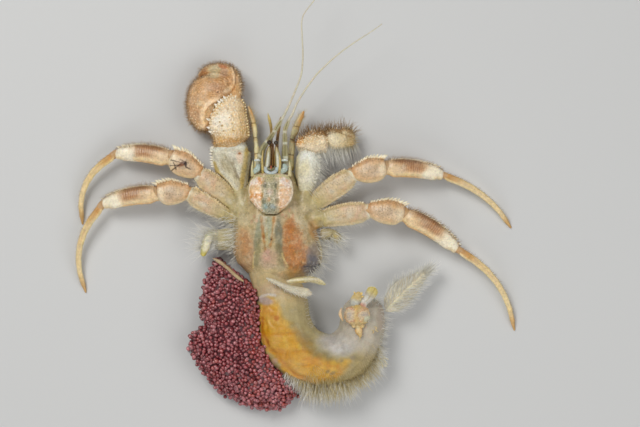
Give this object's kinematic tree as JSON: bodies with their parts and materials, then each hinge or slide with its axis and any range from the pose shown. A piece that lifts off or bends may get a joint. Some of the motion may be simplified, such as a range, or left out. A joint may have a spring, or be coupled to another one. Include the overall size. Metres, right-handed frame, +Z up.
{
  "type": "hermit crab",
  "caption": "Still, life-size hermit crab out of its shell, belly down with legs spread, soft curled abdomen and a mass of eggs.",
  "frame": {"origin": "on the midline at the flat underside of the thorax, on the surface that the crab rests on", "axes": "+Y from the tail to the head, +X to the crab's right, +Z up off the surface"},
  "size_m": [0.0522, 0.0494, 0.0068],
  "materials": {
    "shell": "thin translucent cuticle, cream and tan with orange and pinkish patches",
    "claw": "granular cuticle, tan with white spines",
    "pale_claw": "granular cuticle, cream to tan",
    "limb": "smooth cuticle, cream and orange-tan with a pinkish brown band",
    "pale_limb": "thin pale cuticle with soft hairs",
    "feeler": "thin translucent cuticle, olive yellow",
    "eye": "glossy dark cornea",
    "flesh": "moist translucent skin over a yellow ovary",
    "tail": "small hard plates, golden",
    "pleopod": "soft pale limb with long fine hairs",
    "eggs": "small glossy dark red eggs"
  },
  "bodies": {
    "root": {"abdomen_1": "flesh", "abdomen_2": "flesh", "abdomen_3": "flesh", "abdomen_4": "flesh", "antenna_base_left": "feeler", "antenna_base_right": "feeler", "antenna_left_far": "feeler", "antenna_left_near": "feeler", "antenna_right_far": "feeler", "antenna_right_near": "feeler", "antennule_left": "feeler", "antennule_right": "feeler", "carapace": "shell", "claw_left_carpus": "claw", "claw_left_finger": "claw", "claw_left_merus": "claw", "claw_left_palm": "claw", "claw_right_carpus": "pale_claw", "claw_right_finger": "pale_claw", "claw_right_merus": "pale_claw", "claw_right_palm": "pale_claw", "egg_mass": "eggs", "eye_left": "eye", "eye_right": "eye", "eyestalk_left": "feeler", "eyestalk_right": "feeler", "leg2_left_carpus": "limb", "leg2_left_dactyl": "limb", "leg2_left_merus": "limb", "leg2_left_propodus": "limb", "leg2_right_carpus": "limb", "leg2_right_dactyl": "limb", "leg2_right_merus": "limb", "leg2_right_propodus": "limb", "leg3_left_carpus": "limb", "leg3_left_dactyl": "limb", "leg3_left_merus": "limb", "leg3_left_propodus": "limb", "leg3_right_carpus": "limb", "leg3_right_dactyl": "limb", "leg3_right_merus": "limb", "leg3_right_propodus": "limb", "leg4_left": "pale_limb", "leg4_right": "pale_limb", "leg5_left": "pale_limb", "leg5_right_lower": "pale_limb", "leg5_right_upper": "pale_limb", "maxilliped_left_lower": "feeler", "maxilliped_left_upper": "feeler", "maxilliped_right_lower": "feeler", "maxilliped_right_upper": "feeler", "pleopod_plume": "pleopod", "pleopod_small": "pleopod", "shield": "shell", "telson": "tail", "telson_point": "tail", "thorax": "shell", "uropod_left": "tail", "uropod_right": "tail"}
  },
  "joints": []
}
